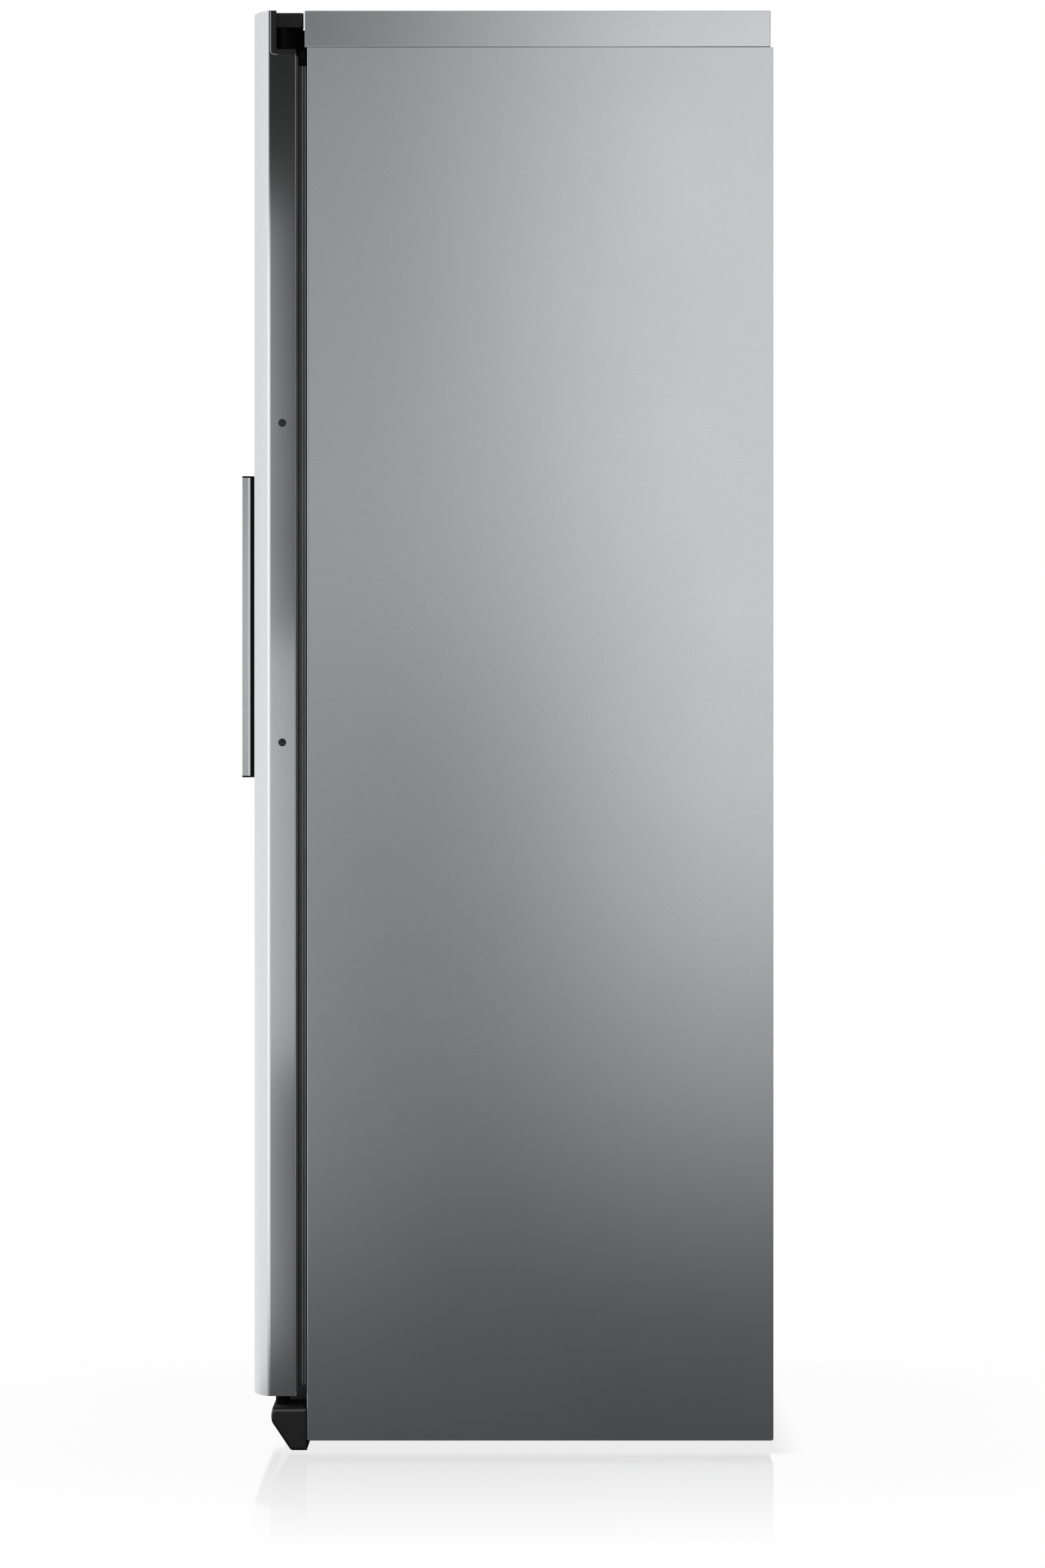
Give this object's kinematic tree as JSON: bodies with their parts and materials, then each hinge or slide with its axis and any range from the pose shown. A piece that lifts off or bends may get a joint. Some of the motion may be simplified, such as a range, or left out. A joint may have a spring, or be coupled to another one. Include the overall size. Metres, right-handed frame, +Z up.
{
  "type": "refrigerator",
  "caption": "Tall one-door refrigerator with a bow-fronted steel door, bar handle, glass shelves, drawers and door bins.",
  "frame": {"origin": "on the floor, under the middle of the overall box with the door closed", "axes": "+X to the right as seen from the front, +Y to the back, +Z up"},
  "size_m": [0.595, 0.6916, 1.8],
  "materials": {
    "stainless_steel": "satin",
    "zinc_steel": "satin",
    "black_plastic": "matte",
    "dark_rubber": "matte",
    "white_plastic": "satin",
    "grey_plastic": "satin",
    "clear_plastic": "gloss",
    "shelf_glass": "gloss",
    "foam": "matte",
    "black_paint": "satin",
    "copper": "satin",
    "coil_aluminium": "satin",
    "green_board": "satin",
    "frosted_lens": "satin",
    "nylon": "satin"
  },
  "bodies": {
    "cabinet": {"side_panel_left": "stainless_steel", "side_panel_right": "stainless_steel", "top_cover": "stainless_steel", "top_panel": "zinc_steel", "back_panel": "zinc_steel", "base_pan": "zinc_steel", "top_hinge": "black_paint", "bottom_hinge": "black_paint", "roller_brackets": "zinc_steel", "machine_cover": "zinc_steel", "cabinet_screws": "zinc_steel", "kick_plate": "black_plastic", "lead_gland": "black_plastic", "drain_pan": "black_plastic", "compressor_mounts": "dark_rubber", "inner_liner": "white_plastic", "duct_cover": "white_plastic", "control_housing": "white_plastic", "fan_housing": "grey_plastic", "shelf_trims": "grey_plastic", "insulation": "foam", "compressor": "black_paint", "refrigerant_pipes": "copper", "evaporator": "coil_aluminium", "control_board": "green_board", "lamp_lens": "frosted_lens", "glass_shelf_1": "shelf_glass", "glass_shelf_2": "shelf_glass", "glass_shelf_3": "shelf_glass", "glass_shelf_4": "shelf_glass", "glass_shelf_5": "shelf_glass"},
    "door": {"door_skin": "stainless_steel", "door_top_cap": "black_plastic", "door_bottom_cap": "black_plastic", "hinge_pocket": "black_plastic", "hinge_blank": "black_plastic", "hinge_bushes": "nylon", "hole_plugs": "black_plastic", "door_foam": "foam", "door_liner": "white_plastic", "door_gasket": "dark_rubber", "bottle_bin": "clear_plastic", "middle_bin": "clear_plastic", "upper_bin": "clear_plastic", "dairy_bin": "clear_plastic", "handle_bar": "stainless_steel", "handle_insert": "black_plastic", "handle_posts": "black_plastic"},
    "lower_drawer": {"lower_drawer": "clear_plastic"},
    "upper_drawer": {"upper_drawer": "clear_plastic"},
    "dairy_flap": {"dairy_flap": "clear_plastic"},
    "fan_wheel": {"fan_wheel": "grey_plastic"},
    "foot_left": {"foot_left": "nylon"},
    "foot_right": {"foot_right": "nylon"},
    "roller_left": {"roller_left": "nylon"},
    "roller_right": {"roller_right": "nylon"},
    "power_button": {"power_button": "grey_plastic"},
    "colder_button": {"colder_button": "grey_plastic"},
    "warmer_button": {"warmer_button": "grey_plastic"}
  },
  "joints": [
    {"name": "door_hinge", "type": "hinge", "parent": "cabinet", "child": "door", "pos_m": [0.2775, -0.26775, 0.9], "axis": [0, 0, 1], "range_deg": [0, 130]},
    {"name": "lower_drawer_slide", "type": "slide", "parent": "cabinet", "child": "lower_drawer", "axis": [0, -1, 0], "range_m": [0, 0.13]},
    {"name": "upper_drawer_slide", "type": "slide", "parent": "cabinet", "child": "upper_drawer", "axis": [0, -1, 0], "range_m": [0, 0.2]},
    {"name": "dairy_flap_hinge", "type": "hinge", "parent": "door", "child": "dairy_flap", "pos_m": [0, -0.23525, 1.432], "axis": [1, 0, 0], "range_deg": [0, 80]},
    {"name": "fan_spin", "type": "hinge", "parent": "cabinet", "child": "fan_wheel", "pos_m": [0, 0.26375, 1.549], "axis": [0, 1, 0], "continuous": true},
    {"name": "foot_left_turn", "type": "hinge", "parent": "cabinet", "child": "foot_left", "pos_m": [-0.165, -0.19725, 0], "axis": [0, 0, 1], "continuous": true},
    {"name": "roller_left_roll", "type": "hinge", "parent": "cabinet", "child": "roller_left", "pos_m": [-0.17, 0.30075, 0.02], "axis": [1, 0, 0], "continuous": true},
    {"name": "foot_right_turn", "type": "hinge", "parent": "cabinet", "child": "foot_right", "pos_m": [0.165, -0.19725, 0], "axis": [0, 0, 1], "continuous": true},
    {"name": "roller_right_roll", "type": "hinge", "parent": "cabinet", "child": "roller_right", "pos_m": [0.17, 0.30075, 0.02], "axis": [1, 0, 0], "continuous": true},
    {"name": "power_button_press", "type": "slide", "parent": "cabinet", "child": "power_button", "axis": [0, 1, 0], "range_m": [0, 0.001], "stiffness_N_per_m": 1000},
    {"name": "colder_button_press", "type": "slide", "parent": "cabinet", "child": "colder_button", "axis": [0, 1, 0], "range_m": [0, 0.001], "stiffness_N_per_m": 1000},
    {"name": "warmer_button_press", "type": "slide", "parent": "cabinet", "child": "warmer_button", "axis": [0, 1, 0], "range_m": [0, 0.001], "stiffness_N_per_m": 1000}
  ],
  "couplings": [
    {"joint": "lower_drawer_slide", "follows": "door_hinge", "m_per_rad": 0.057},
    {"joint": "upper_drawer_slide", "follows": "door_hinge", "m_per_rad": 0.088}
  ]
}
